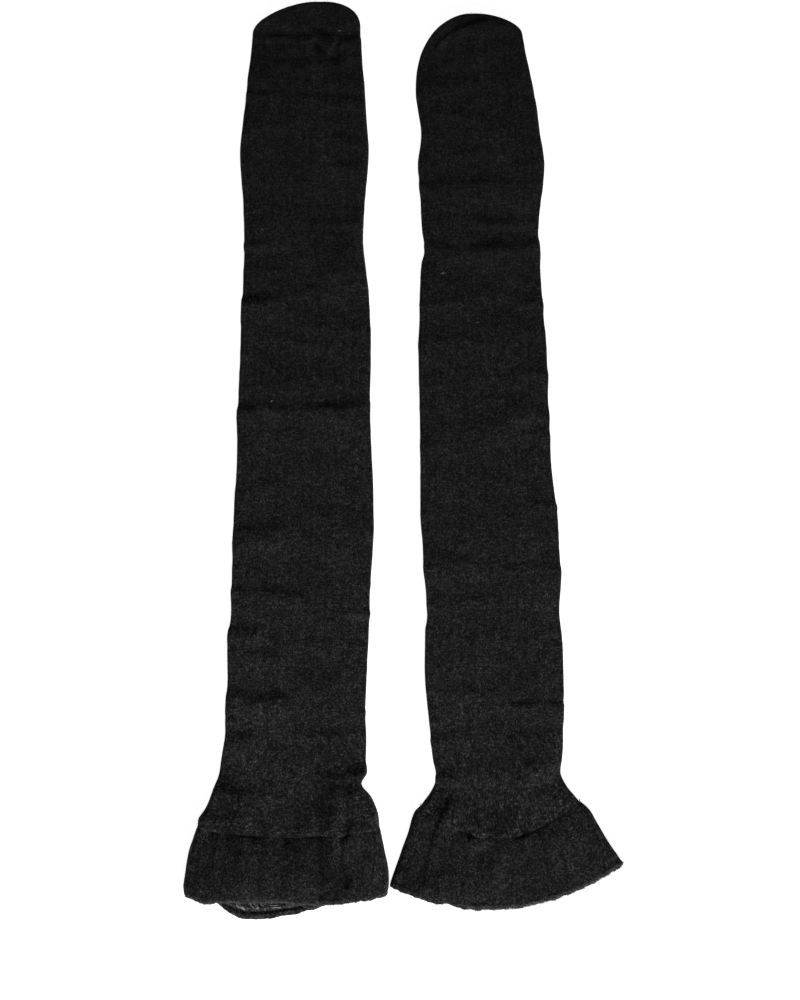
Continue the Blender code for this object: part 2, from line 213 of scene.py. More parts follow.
RIGHT_CREASES = table(
    Crease,
    (46.7, 17, -20, 46, 0.85, 2.1, 2.4, 5.6),
    (27.8, 27.4, -47, 32, 0.55, 1.5, 1.4, 2.4),
    (75, 17, 14, 28, 0.45, 2, 2.2),
    (58, 20.5, 1, 48, 0.75, 5, 1.2),
    (60, 33, -4, 50, 0.4, 5, 1.8),
    (50, 80, 0, 170, 0.9, 28, 2.2),
    (30.6, 30, -72, 20, -0.6, 1.7, 2),
    (52, 38, -10, 40, 0.36, 2.8, 2.1),
    (74, 49, 6, 34, 0.3, 2.6, 2.1),
    (26, 62, 4, 34, 0.3, 2.6, 2.1),
    (58, 92, -3, 60, 0.36, 3.2, 2.6),
    (36, 130.5, 0, 66, 0.6, 4, 2.8),
    (74, 129.5, 2, 66, 0.62, 4.4, 2.8),
    (12, 131.5, 3, 34, 0.45, 2.8, 2.1),
    (40, 155, 2, 76, 0.55, 3.8, 2.6),
    (82, 158, -3, 44, 0.4, 3.4, 2.4),
    (17, 174.6, 1, 50, 0.95, 2.8, 2.8),
    (48, 177.4, 2, 60, 0.8, 3.6, 2.8),
    (82, 174, -1, 62, 1.1, 3.6, 2.8),
    (91, 216, 0, 42, 0.6, 2.2, 2.3),
    (94, 264, 0, 46, 0.95, 4, 2.4),
    (90, 291, 2, 56, 1.2, 5.6, 2.4),
    (98, 308, 4, 34, 0.75, 2.8, 2),
    (36, 240, 3, 60, 0.42, 3.2, 2.3),
    (62, 300, -3, 62, 0.42, 3.4, 2.3),
    (30, 340, 4, 46, 0.36, 3, 2.3),
    (102, 357.2, 0, 42, 0.72, 2.3, 2.2),
    (33, 397, 5, 46, 0.8, 4.2, 3.2),
    (58, 400.4, -3, 40, 0.42, 4.6, 2.6),
    (94, 403, 2, 54, 1.05, 4, 3.2),
    (14, 403, 0, 30, 0.5, 3.2, 2.2),
    (54, 425, -5, 52, 0.42, 3.2, 2.3),
    (14, 443.5, 18, 26, 0.6, 2.6, 1.8),
    (98, 449, -20, 30, 0.54, 2.8, 2.1),
    (99, 500.6, 2, 54, 1.9, 3.6, 3.6),
    (93, 525, -8, 50, 1.3, 7, 3),
    (50, 492, 3, 56, 0.48, 3.4, 2.3),
    (20, 525, 0, 38, 0.78, 2.8, 2.1),
    (84, 534, -4, 60, 0.54, 3.8, 2.3),
    (94, 547.5, -42, 54, 2.2, 15, 0.42),
    (68, 594, -2, 150, 2.2, 20, 3, -38),
    (29, 551, 0, 24, 1.08, 2, 1.8),
    (31.5, 572.6, -46, 18, 0.55, 1.9, 2.6),
    (24.6, 584, -71, 56, 1.15, 2, 3.6, 4),
    (48, 589.5, -86, 26, 1.7, 2.8, 3),
    (84.6, 593, -14, 13, 0.9, 1.9, 1.8),
    (44, 624, -4, 78, 1.6, 20, 1),
    (17, 624, -74, 24, 0.9, 5, 2.2),
    (146, 606.5, -30, 12, 0.72, 1.6, 1.8),
)
RIGHT_BACK_CREASES = table(
    Crease,
    (50, 40, -8, 50, -0.35, 2.2, 1.6),
    (18, 131, 5, 56, -0.55, 2.6, 1.6),
    (52, 174, 1, 120, -0.75, 2.8, 1.4),
    (90, 262, -6, 54, -0.4, 2.4, 1.6),
    (30, 318, 4, 56, -0.4, 2.6, 1.6),
    (66, 399, 6, 110, -0.65, 3.4, 1.5),
    (100, 498, 2, 60, -0.75, 2.4, 1.4),
    (24, 548, -5, 50, -0.6, 2.8, 1.4),
)

# The tubes' sections, as the CAD solids have them, and the cuffs' pleats.
LEFT_LEG = table(
    section_row,
    (-0.6, -107, -31, 5),
    (26, -108.5, -31, 5.2),
    (50, -111, -29.5, 4.8),
    (84, -114, -27.5, 4.6),
    (106, -116.2, -26, 4.8),
    (135, -114.7, -28, 5),
    (169, -113.7, -30.2, 5),
    (194, -114.7, -27.5, 4.8),
    (212, -115.4, -25.2, 4.8),
    (246, -116.8, -23.8, 5),
    (279, -118.2, -24.5, 5.4),
    (297, -118.9, -24.9, 5),
    (331, -119.6, -22.7, 4.8),
    (368, -121.8, -21.7, 5),
    (391, -122.3, -22.5, 4.8),
    (418, -123.3, -24.5, 5),
    (435, -123.6, -24.7, 5),
    (453, -125.7, -25.6, 5),
    (484, -126, -27, 5),
    (506, -127, -27.8, 5.2),
    (522, -127, -27, 5.4),
    (538, -130.5, -27.5, 5.8, 1),
    (548, -132, -27.6, 6.2, 2),
    (555.5, -134.3, -31.4, 6.4, 3),
    (564, -137.2, -24.8, 6.6, 4),
    (573.5, -141.8, -20.4, 7, 5),
    (580, -145.8, -19, 7.2, 5.8),
    (586, -146.2, -18.6, 7.4, 6.5, 0.5),
)
LEFT_CUFF = table(
    section_row,
    (586, -146.8, -18.2, 8, 6.5, 0.5),
    (594, -149.5, -16.6, 9, 7),
    (602, -152.2, -15, 10.6, 7),
    (615, -155, -12.4, 12.4, 6.5),
    (627.5, -156.4, -12, 13.6, 6, -0.5),
    (635, -155.6, -13.2, 14, 6, -1),
)
LEFT_PLEATS = table(
    Pleat,
    (0.07, 0, 1.2, 0.04, -0.2, 0.8),
    (0.2, -0.01, 0.8, 0.035, 0.1, 1.4),
    (0.33, -0.01, 1.1, 0.035, -0.3, 0.7),
    (0.5, 0, 1.2, 0.04, -0.3, 0.8),
    (0.66, 0.01, 0.8, 0.035, 0, 1.4),
    (0.8, 0.02, 1.2, 0.03, -0.6, 0.6),
    (0.91, 0, 0.9, 0.035, 0.1, 1.4),
)
RIGHT_LEG = table(
    section_row,
    (7.8, 8.2, 81.6, 5),
    (22, 8.2, 83.8, 5.2),
    (41, 8.2, 87, 5),
    (66, 8.5, 92, 4.8),
    (94, 12.2, 96.2, 4.8),
    (115, 9.7, 99, 5),
    (135, 11, 97.6, 5),
    (161, 12.2, 95, 4.8),
    (176.5, 14.2, 96, 5),
    (186, 11.7, 96.4, 5),
    (221, 10.6, 98.8, 4.8),
    (246, 9.6, 101.2, 5),
    (280, 10.4, 102.1, 4.8),
    (331, 11, 104.7, 4.8),
    (366, 11.2, 109, 5),
    (386, 12.6, 110, 5.2),
    (402, 13.4, 111, 5),
    (433, 16, 110.2, 4.8),
    (453, 14.3, 112.2, 5),
    (484, 14.6, 113.2, 5),
    (517, 18, 112.5, 5.4, 0, -2),
    (537, 19.8, 111.8, 5.8, 3, -2),
    (551, 22.4, 110.5, 6.4, 8, -4.5),
    (561.5, 18, 116.2, 6.8, 16, -3),
    (570.5, 12, 123.5, 7.4, 24.5, -3.5),
)
RIGHT_CUFF = table(
    section_row,
    (570.5, 11.4, 124.2, 8, 24.5, -3.5),
    (575, 7.2, 130.8, 8.8, 24.5, -2),
    (588, 3, 136.4, 10.2, 24, -6),
    (602, -2.2, 144, 11.6, 23.5, -7),
    (616, -7.2, 150.4, 13, 23, -11.5),
    (628, -11.2, 156.2, 13.6, 22.5, -15.5),
)
RIGHT_PLEATS = table(
    Pleat,
    (0.06, 0.01, 1.2, 0.03, 0, 1.4),
    (0.19, -0.05, 1.4, 0.035, -0.7, 1),
    (0.36, -0.03, 1, 0.03, -0.3, 0.7),
    (0.5, 0, 0.8, 0.035, 0.2, 1.4),
    (0.63, 0.02, 1.6, 0.03, -0.3, 0.6),
    (0.78, 0.02, 0.8, 0.04, 0, 1.4),
    (0.92, 0.02, 1, 0.03, 0.3, 1.4),
)
# Pale threads that lie in the left sock's mouth.
MOUTH_THREADS = table(
    Fibre,
    (-118.6, 641.6, 62, 5, 0.4),
    (-116.6, 642.4, 55, 6, -0.4),
    (-114.4, 643.2, 66, 4.4, 0.3),
    (-108.6, 641.6, 48, 4.6, 0.3),
    (-106, 642.4, 57, 6, -0.5),
    (-103.8, 642.2, 74, 3.6, 0.2),
    (-101.2, 641.4, 30, 3.4, 0.2),
    (-92.4, 641.4, -2, 7.4, 0.3),
    (-91.2, 643.4, 3, 8.6, -0.3),
    (-94.6, 639.4, 40, 2.6, 0.2),
)

# A sock's hem share is how much paler its hem's edge is painted towards the right: a painted
# highlight where the light catches the rolled, fuzzy edge.  Seam_depths gives the valley's depth
# along the seam by x, and fringe the x from and to which a hem has fibres, and how many the whole
# hem would have.  Cuts are the flat sizes of leg and cuff, all round by length, in metres.
LEFT_SOCK = Sock(
    name="left",
    seed=11,
    toe=Toe(-61.5, 22, 1.7, 20, 2.5),
    leg=LEFT_LEG,
    cuff=LEFT_CUFF,
    pleats=LEFT_PLEATS,
    lip=Lip(11.8, 0.095, 0.285, 0.33, 0.87),
    creases=LEFT_CREASES,
    back_creases=LEFT_BACK_CREASES,
    nicks=table(Nick, (-31.5, -0.8, 3), (-98, -2.8, 24), (-141, 2.5, 10)),
    rub=0.1,
    seam_depths=(
        (-148, 0.3), (-128, 0.2), (-113, 0.9), (-105, 1.6), (-99, 0.1), (-90, 0.2), (-83, 1.3),
        (-76, 0.1), (-66, 0.9), (-58, 0.4), (-48, 0.2), (-40.5, 0.3), (-28, 0.2), (-17, 0.3),
    ),
    fringe=(-150.0, -50.0, 900),
    lint=((-46.5, 20.6), (-100.5, 161.9), (-94.1, 283.3)),
    loose=table(
        Fibre,
        (-63.4, 282.4, -48, 5, 0.7),
        (-61, 282.2, 52, 4.4, -0.6),
        (-81, 622, 48, 5, 0.9),
    ),
    in_mouth=MOUTH_THREADS,
    toe_seam=((-107, 25.6), (-90, 24.9), (-62, 24.4), (-32.5, 24.8)),
    cuts=((0.196, 0.600), (0.290, 0.056)),
)

RIGHT_SOCK = Sock(
    name="right",
    seed=23,
    toe=Toe(48.5, 48, 2, 14, 1.9),
    leg=RIGHT_LEG,
    cuff=RIGHT_CUFF,
    pleats=RIGHT_PLEATS,
    lip=Lip(0, 0.2, 0.4, 0.6, 0.8),
    creases=RIGHT_CREASES,
    back_creases=RIGHT_BACK_CREASES,
    nicks=table(Nick, (31.6, -1.8, 3.5)),
    rub=0.6,
    seam_depths=(
        (10, 0.3), (34, 0.1), (45.6, 0.8), (54, -0.2), (74, -0.3), (82, 1), (88, 0.3), (100, 0.5),
        (108, 0.6), (122, 0.8), (126, 0.4),
    ),
    fringe=(44.0, 157.0, 3600),
    lint=((27.3, 192.4), (52.2, 227.2)),
    loose=table(Fibre, (91.8, 444.4, -28, 9, 1), (44, 448, 15, 4, 0.6)),
    in_mouth=(),
    toe_seam=(
        (29.6, 34), (30.9, 25.6), (38.7, 19), (44.4, 15.4), (50, 12.4), (56.4, 10.9), (67.8, 12.2),
        (80, 17.2),
    ),
    cuts=((0.190, 0.590), (0.300, 0.058)),
)

# Swells of the whole front, each stretched across the sock.  Seeds are counted from the sock's.
SWELLS = table(
    Swell,
    (0.12, 1.0, 22.0, 3),
    (0.05, 1.0, 7.0, 4),
    (0.18, 3.4, 15.0, 12),
    (0.08, 3.6, 7.0, 13),
)

# Coats of short fibres.  They grow where the cloth faces up by more than "lowest", bent by
# "to_hem" towards the hem, and stand up by a share, "lift", of their length.  A sock gives the
# fringe's count, and the lint's is to each tuft.
LEG_NAP = Coat("leg_nap_", 30, 5200, -0.35, 0.0, 2.4, 0.045, 0.22)
CUFF_NAP = Coat("cuff_nap_", 32, 1500, -0.35, 0.0, 2.4, 0.045, 0.22)
HEM_NAP = Coat("hem_nap_", 34, 2200, -0.99, 1.2, 1.5, 0.05, 0.55)
FRINGE = Coat("fringe_", 36, 0, 0.3, 0.6, 2.6, 0.06, 0.40)
LINT_TUFT = Coat("lint_", 20, 7, -1.0, 0.0, 1.1, 0.11, 0.5)


# ---- forms


def smoothstep(low, high, value):
    share = np.clip((value - low) / (high - low), 0.0, 1.0)
    return share * share * (3.0 - 2.0 * share)


def bump(value):
    """A smooth hill of height 1 and width 1 at 0."""
    return np.exp(-(value**2))


def soft_noise(x, y, size, seed):
    """Smooth seeded unevenness of about -1 to 1, whose swells are about this size."""
    draw = np.random.default_rng(seed)
    total = np.zeros(np.shape(x))
    waves = 14
    for _ in range(waves):
        heading = draw.uniform(0.0, math.tau)
        step = math.tau / (size * draw.uniform(1.4, 3.0))
        phase = draw.uniform(0.0, math.tau)
        total += np.sin((x * math.cos(heading) + y * math.sin(heading)) * step + phase)
    return total / math.sqrt(waves)


def station(section):
    """How far down a section lies, at its edges' mean."""
    return 0.5 * (section.left_down + section.right_down)


def ends(rows):
    return station(rows[0]), station(rows[-1])


def section_at(rows, down):
    """The section that a smooth curve through the rows has at this distance down."""
    places = [station(row) for row in rows]
    index = 0
    while index < len(rows) - 2 and places[index + 1] < down:
        index += 1
    span = places[index + 1] - places[index]
    share = (down - places[index]) / span
    back = share - 1.0
    knots = []
    for knot in (index, index + 1):
        before, after = max(knot - 1, 0), min(knot + 1, len(rows) - 1)
        slope = (np.array(rows[after]) - rows[before]) / (places[after] - places[before])
        knots.append((np.array(rows[knot]), slope * span))
    (start, start_slope), (end, end_slope) = knots
    return Section(
        *(
            start * (1.0 + 2.0 * share) * back * back
            + end * share * share * (1.0 - 2.0 * back)
            + start_slope * share * back * back
            + end_slope * share * share * back
        )
    )


def toe_share(below_tip, depth, power):
    """How much of its full reach to one side the toe has, this far below its tip."""
    if below_tip >= depth:
        return 1.0
    return (1.0 - (1.0 - max(below_tip, 0.0) / depth) ** power) ** (1.0 / power)


def toe_edges(sock, section, down, inset):
    """Left and right edge of a leg ring, with the rounded toe cut into them."""
    toe = sock.toe
    below_tip = down - station(sock.leg[0]) - inset
    left_share = toe_share(below_tip, toe.left_depth - inset, toe.left_power)
    right_share = toe_share(below_tip, toe.right_depth - inset, toe.right_power)
    left = toe.tip + (section.left + inset - toe.tip) * left_share
    right = toe.tip + (section.right - inset - toe.tip) * right_share
    return left, right


def ring_places(front_per_wale, back_per_wale):
    """Places round a flattened ring, from the left edge over the front, as arrays.

    Turn is a share of the quarter arc from the side edge, 0, to the flat, 1.  Side is 1 on the
    front and -1 on the back.  Wale counts the columns of stitches.
    """
    flat = WALES_ACROSS - 2 * EDGE_WALES
    quarter = EDGE_WALES * front_per_wale
    front = flat * front_per_wale
    back = flat * back_per_wale
    arc = [step / quarter for step in range(quarter)]
    rows = [(0.0, turn, 1.0, EDGE_WALES * turn) for turn in arc]
    for step in range(front + 1):
        rows.append((step / front, 1.0, 1.0, EDGE_WALES + flat * step / front))
    rows += [(1.0, turn, 1.0, WALES_ACROSS - EDGE_WALES * turn) for turn in arc[::-1]]
    rows += [(1.0, turn, -1.0, WALES_ACROSS + EDGE_WALES * turn) for turn in arc[1:]]
    for step in range(back + 1):
        wale = WALES_ACROSS + EDGE_WALES + flat * step / back
        rows.append((1.0 - step / back, 1.0, -1.0, wale))
    rows += [(0.0, turn, -1.0, 2 * WALES_ACROSS - EDGE_WALES * turn) for turn in arc[:0:-1]]
    return Places(*np.array(rows).T)


def outward(places):
    """The sideways and upward part of the direction that the cloth faces at each place."""
    turn = places.turn * math.pi / 2
    return (2.0 * places.share - 1.0) * np.cos(turn), places.side * np.sin(turn)


def front_and_back(places):
    """How much each place belongs to the front, and how much to the back, from 0 to 1."""
    _, up = outward(places)
    return smoothstep(-0.5, 0.6, up), smoothstep(-0.1, 0.6, -up)


def ring(section, edges, places, height, crown_power, tip_share, inset):
    """Points of one ring as rows of x, down and z; inset is 0 on the outside of the wall."""
    radius = (0.5 * height - inset) * tip_share
    left, right = edges
    turn = places.turn * math.pi / 2
    up = np.sin(turn)
    x = left + radius + places.share * (right - left - 2.0 * radius)
    x += (2.0 * places.share - 1.0) * radius * np.cos(turn)
    across = (x - section.left) / (section.right - section.left)
    hump = 4.0 * across * (1.0 - across)
    down = section.left_down + (section.right_down - section.left_down) * across
    down += section.bow * hump
    crown = 1.0 - np.maximum(1.0 - hump, 0.0) ** crown_power
    front = places.side > 0.0
    z = 0.5 * height + places.side * up * radius
    z += np.where(front, (section.rise - height) * crown * up * tip_share, 0.0)
    return np.stack([x, down, z], axis=1)


def add_lip(points, section, places, lip, along):
    """Draws a ring's back layer down, where its hem shows past the front one."""
    across = (points[:, 0] - section.left) / (section.right - section.left)
    shape = smoothstep(lip.rise_start, lip.rise_end, across)
    shape = shape * (1.0 - smoothstep(lip.fall_start, lip.fall_end, across))
    up = np.sin(places.turn * math.pi / 2)
    points[:, 1] += np.where(places.side > 0.0, 0.0, lip.reach * shape * along * along * up)


def crease_height(creases, x, down, seed):
    """Height of creases at these places, with seeded unevenness along each."""
    total = np.zeros(np.shape(x))
    for crease in creases:
        place = [seed, round(abs(crease.x) * 10), round(crease.down * 10)]
        phases = np.random.default_rng(place).uniform(0.0, math.tau, len(CREASE_WAVES))
        turn = math.radians(crease.angle)
        dx, dd = x - crease.x, down - crease.down
        along = (dx * math.cos(turn) + dd * math.sin(turn)) / (0.5 * crease.length)
        near = np.abs(along) < 1.0
        along = along[near]
        travel = along * 0.5 * crease.length
        waves = [np.sin(travel / size + phase) for size, phase in zip(CREASE_WAVES, phases)]
        away = dd[near] * math.cos(turn) - dx[near] * math.sin(turn)
        away -= crease.bend * along**2
        away += 0.22 * crease.width * waves[0]
        away += 0.10 * crease.width * waves[1]
        away /= crease.width * (1.0 + 0.22 * waves[2])
        away = np.where(away > 0.0, away / crease.fall, away)
        reach = (1.0 - along**4) ** 2
        reach *= 1.0 + 0.15 * waves[3]
        reach *= 1.0 + 0.08 * waves[4]
        total[near] += crease.height * reach * bump(away)
    return total


def small_creases(sock, seed, count):
    """Seeded faint creases all over a leg, most of them level, as a worn knit has."""
    draw = np.random.default_rng(seed)
    tip, seam = ends(sock.leg)
    found = []
    for _ in range(count):
        down = draw.uniform(tip + 30.0, seam - 4.0)
        section = section_at(sock.leg, down)
        x = section.left + (section.right - section.left) * draw.beta(0.7, 0.7)
        angle = draw.normal(0.0, 6.0)
        length = draw.uniform(16.0, 68.0)
        height = draw.uniform(0.12, 0.34)
        width = draw.uniform(1.7, 3.6)
        fall = draw.uniform(0.9, 2.0)
        found.append(Crease(x, down, angle, length, height, width, fall))
    return found


def seam_relief(sock, x, from_seam):
    """The valley along the seam that links leg and cuff, and the gathers that cross it."""
    places, depths = np.array(sock.seam_depths).T
    depth = np.interp(x, places, depths)
    gather = soft_noise(x, np.zeros(np.shape(x)), 3.4, sock.seed + 5)
    gathers = GATHER_DEPTH * np.clip(gather, -1.2, 0.5) * bump(from_seam / GATHER_REACH)
    step = SEAM_STEP * (1.0 - np.minimum(depth, 1.0)) * smoothstep(-12.0, 0.0, from_seam)
    valley = depth * bump(from_seam / SEAM_WIDTH)
    return gathers * (0.4 + 0.6 * depth) - valley + step * (from_seam < 0.0)


def rib_relief(wale):
    """A groove along every fourth column of stitches."""
    wave = 0.5 + 0.5 * np.cos(math.tau * wale / RIB_WALES)
    return -RIB_DEPTH * wave**2


def push_out(grid, places, height):
    """Moves a grid's points the way the cloth faces: sideways only a little, never below 0."""
    side, up = outward(places)
    grid[..., 0] += side * np.minimum(height, SIDEWAYS)
    grid[..., 2] = np.maximum(grid[..., 2] + up * height, 0.0)


def cloth_relief(sock, grid, places, from_seam):
    """Creases, swells and seam gathers, which lift or press the whole wall."""
    x, down = grid[..., 0], grid[..., 1]
    front, back = front_and_back(places)
    swells = np.zeros(x.shape)
    for swell in SWELLS:
        seed = sock.seed + swell.seed
        swells += swell.height * soft_noise(x / swell.stretch, down, swell.size, seed)
    faint = small_creases(sock, sock.seed + 1, SMALL_CREASES)
    swells += crease_height(faint, x, down, sock.seed + 2)
    swells *= smoothstep(0.0, 14.0, down - station(sock.leg[0]))
    swells += crease_height(sock.creases, x, down, sock.seed)
    swells += seam_relief(sock, x, from_seam)
    under = crease_height(sock.back_creases, x, down, sock.seed + 6)
    faint = small_creases(sock, sock.seed + 7, SMALL_BACK_CREASES)
    under -= crease_height(faint, x, down, sock.seed + 8)
    under += 0.5 * seam_relief(sock, x + BACK_SHIFT, from_seam)
    front = front * np.clip(swells, LOWEST_FRONT, HIGHEST_SWELL)
    return front + back * np.clip(under, LOWEST_BACK, 0.0)


# ---- shells


def leg_grid(sock, stations, places, inset):
    """Rings of a leg tube, as an array of rings by places by x, down and z."""
    tip, seam = ends(sock.leg)
    rings = []
    for down in stations:
        inner_down = tip + inset + (down - tip) * (seam - tip - inset) / (seam - tip)
        section = section_at(sock.leg, inner_down)
        edges = toe_edges(sock, section, inner_down, inset)
        below_tip = min((down - tip) / (0.5 * LEG_FOLD_HEIGHT), 1.0)
        tip_share = math.sqrt(1.0 - (1.0 - below_tip) ** 2)
        opening = float(smoothstep(seam - FLARE_LENGTH, seam, down))
        height = LEG_FOLD_HEIGHT + (CUFF_FOLD_HEIGHT - LEG_FOLD_HEIGHT) * opening
        in_by = inset + TUCK_INSET * max(0.0, down - seam) / TUCK_LENGTH
        rings.append(ring(section, edges, places, height, LEG_CROWN_POWER, tip_share, in_by))
    return np.array(rings)


def leg_stations(sock):
    tip, seam = ends(sock.leg)
    start = tip + TOE_STEPS[-1]
    count = round((seam + TUCK_LENGTH - start) / LEG_STEP)
    body = [start + (seam + TUCK_LENGTH - start) * index / count for index in range(1, count + 1)]
    return np.array([tip + below for below in TOE_STEPS] + body)


def leg_shell(sock):
    """The leg and foot tube: a knit wall, closed at the toe and open under the cuff."""
    places = ring_places(2, 1)
    stations = leg_stations(sock)
    toe_fade = smoothstep(16.0, 34.0, stations - stations[0])[:, None]
    ribs = rib_relief(places.wale)[None, :] * (0.35 + 0.65 * toe_fade)

    def layer(stations, places, inset, ribs):
        grid = leg_grid(sock, stations, places, inset)
        from_seam = (stations - station(sock.leg[-1]))[:, None]
        relief = cloth_relief(sock, grid, places, from_seam)
        tip_fade = smoothstep(0.0, 4.0, stations - stations[0])[:, None]
        push_out(grid, places, tip_fade * (relief + ribs))
        return grid, relief

    outer, relief = layer(stations, places, 0.0, ribs)
    lining_stations = stations[::2] if len(stations) % 2 else np.append(stations[::2], stations[-1])
    every_other = Places(*(column[::2] for column in places))
    inner, _ = layer(lining_stations, every_other, LEG_WALL, 0.0)
    shell = tube_with_toe("leg_shell_" + sock.name, outer, places, stations, inner, lining_stations)
    # Painted shade: the cloth's valleys are marked, to be darkened in the knit's colour.
    mark(shell, "painted_crease_shade", np.clip(-relief / FULL_SHADE_DEPTH, 0.0, 1.0))
    return shell, outer, places


def pleat_relief(pleats, across, along):
    """How high the pleats leave the cuff's front, a depth below 0, on a grid of the front."""
    total = np.zeros(np.broadcast_shapes(across.shape, along.shape))
    for pleat in pleats:
        middle = pleat.across + pleat.lean * along
        reach = smoothstep(pleat.start, pleat.start + 0.3, along)
        reach = reach * (1.0 - smoothstep(pleat.end - 0.4, pleat.end, along))
        total -= pleat.depth * reach * bump((across - middle) / pleat.width)
    return total


def rim_turns(start_inset, end_inset):
    """Rings round a rolled edge, as (inset, share of the roll's radius that it stands out)."""
    steps = []
    for step in range(1, RIM_STEPS):
        turn = math.pi * step / RIM_STEPS
        inset = start_inset + (end_inset - start_inset) * 0.5 * (1.0 - math.cos(turn))
        steps.append((inset, math.sin(turn)))
    return steps


def cuff_rows(sock):
    """Rings of the cuff's closed loft, as (station, inset): outside, hem, inside and seam."""
    first, last = ends(sock.cuff)
    roll = 0.5 * CUFF_WALL
    start, end = first - 0.4 + roll, last - roll
    band = end - HEM_BAND
    count = round((band - start) / CUFF_STEP)
    outside = [(start + (band - start) * index / count, 0.0) for index in range(count)]
    count = round(2.0 * HEM_BAND / CUFF_STEP)
    outside += [(band + HEM_BAND * index / count, 0.0) for index in range(count + 1)]
    hem = [(end + roll * out, inset) for inset, out in rim_turns(0.0, CUFF_WALL)]
    inside = [(place, CUFF_WALL) for place, _ in reversed(outside)]
    seam = [(start - roll * out, inset) for inset, out in rim_turns(CUFF_WALL, 0.0)]
    return outside + hem + inside + seam


def hem_relief(to_hem):
    """A turned hem's rounded edge, and the faint groove above it."""
    edge = np.clip(1.0 - to_hem / 4.2, 0.0, 1.0)
    return -1.1 * edge**2 - 0.10 * bump((to_hem - 5.0) / 1.5)


def lip_relief(to_hem):
    """The narrow rolled band along the hem of a back layer, seen from inside the mouth."""
    roll = 0.50 * bump((to_hem - 2.2) / 1.2) - 0.55 * bump((to_hem - 4.0) / 0.9)
    return roll + 0.70 * bump((to_hem - 5.6) / 1.1) - 0.35 * bump((to_hem - 7.8) / 1.3)


def cuff_grid(sock, rows, places):
    """Rings of the cuff's closed loft, as an array of rings by places by x, down and z."""
    first, last = ends(sock.cuff)
    rings = []
    for down, inset in rows:
        section = section_at(sock.cuff, down)
        edges = (section.left + inset, section.right - inset)
        points = ring(section, edges, places, CUFF_FOLD_HEIGHT, CUFF_CROWN_POWER, 1.0, inset)
        add_lip(points, section, places, sock.lip, max((down - first) / (last - first), 0.0))
        rings.append(points)
    return np.array(rings)


def cuff_shell(sock):
    """The flared band: a doubled knit wall, open at both ends, with rolled edges."""
    places = ring_places(3, 2)
    first, last = ends(sock.cuff)
    rows = cuff_rows(sock)
    grid = cuff_grid(sock, rows, places)
    down, inset = np.array(rows).T[..., None]
    layer = inset / CUFF_WALL  # 0 outside, 1 inside
    along = (down - first) / (last - first)
    in_band = np.clip(along, 0.0, 1.0)
    _, up = outward(places)
    front, back = front_and_back(places)
    x = grid[..., 0]
    across = places.share[None, :]
    wave = soft_noise(x, 0.0 * x, 5.0, sock.seed + 9)
    teeth = soft_noise(x, 0.0 * x + 9.0 * np.sign(up), 1.3, sock.seed + 11)
    ruffle = soft_noise(x, 0.15 * grid[..., 1], 9.0, sock.seed + 10)
    relief = cloth_relief(sock, grid, places, down - first)
    relief += PLEAT_SHARE * front * pleat_relief(sock.pleats, across, along)
    relief += front * 0.45 * ruffle * in_band
    relief += front * hem_relief(last - down)
    relief += (1.0 - layer) * rib_relief(places.wale)[None, :] * CUFF_RIBS
    grid[..., 1] += (0.34 * wave + 0.20 * teeth) * in_band**12
    for nick in sock.nicks:
        shape = bump((x - nick.x) / nick.width) * front
        grid[..., 1] += nick.reach * shape * in_band**4
    push_out(grid, places, relief)
    grid[..., 2] += back * layer * lip_relief(last - down)
    shell = closed_loft("cuff_shell_" + sock.name, grid, places, down[:, 0])
    # Painted shade: the cloth's valleys are marked, to be darkened in the knit's colour.
    mark(shell, "painted_crease_shade", np.clip(-relief / FULL_SHADE_DEPTH, 0.0, 1.0))
    # Painted highlight: the hem's edge is made paler, more towards its right, where the light catches
    # it; the lining inside the mouth is paler yarn.
    hem_highlight = bump((last - down) / 3.0) * (0.40 + sock.rub * smoothstep(0.40, 0.80, across))
    beyond_band = 0.15 + 0.65 * smoothstep(3.6, 6.4, last - down)
    lining = layer * smoothstep(-0.05, 0.25, along) * beyond_band
    mark(shell, "pale_lining_and_hem_light", np.maximum(hem_highlight * front, lining + 0.0 * x))
    outside = int(np.sum(inset == 0.0))
    return shell, grid, places, outside


def to_world(points):
    """Rows of x, down and z in millimetres as places in the frame, in metres."""
    points = np.asarray(points, float)
    return np.stack([points[..., 0], TOP_EDGE - points[..., 1], points[..., 2]], axis=-1) * MM


def mark(shell, name, values):
    """Stores a value for each of a shell's first points, for its material."""
    column = np.zeros(len(shell.data.vertices), np.float32)
    column[: values.size] = values.ravel()
    attribute = shell.data.attributes.new(name, "FLOAT", "POINT")
    attribute.data.foreach_set("value", column)


def make_object(name, points, faces, corner_uvs=None):
    """A smooth mesh object from points in millimetres, as (x, down, z), and lists of faces."""
    data = bpy.data.meshes.new(name)
    data.from_pydata(to_world(points).tolist(), [], faces)
    if corner_uvs is not None:
        layer = data.uv_layers.new(name="Knit")
        layer.data.foreach_set("uv", np.concatenate(corner_uvs).astype(np.float32).ravel())
    data.shade_smooth()
    data.validate()
    piece = bpy.data.objects.new(name, data)
    bpy.context.scene.collection.objects.link(piece)
    return piece


def add_band(faces, uvs, numbers, downs, wales, near, far):
    """Quads from one ring to another, with the column and row of stitches of each corner."""
    after = np.roll(numbers[near], -1), np.roll(numbers[far], -1)
    faces += np.stack([numbers[near], numbers[far], after[1], after[0]], axis=1).tolist()
    next_wales = np.append(wales[1:], 2 * WALES_ACROSS)
    near_course = np.full(len(wales), downs[near] / COURSE)
    far_course = np.full(len(wales), downs[far] / COURSE)
    corners = (wales, near_course, wales, far_course, next_wales, far_course, next_wales, near_course)
    uvs.append(np.stack(corners, axis=1).reshape(-1, 2))


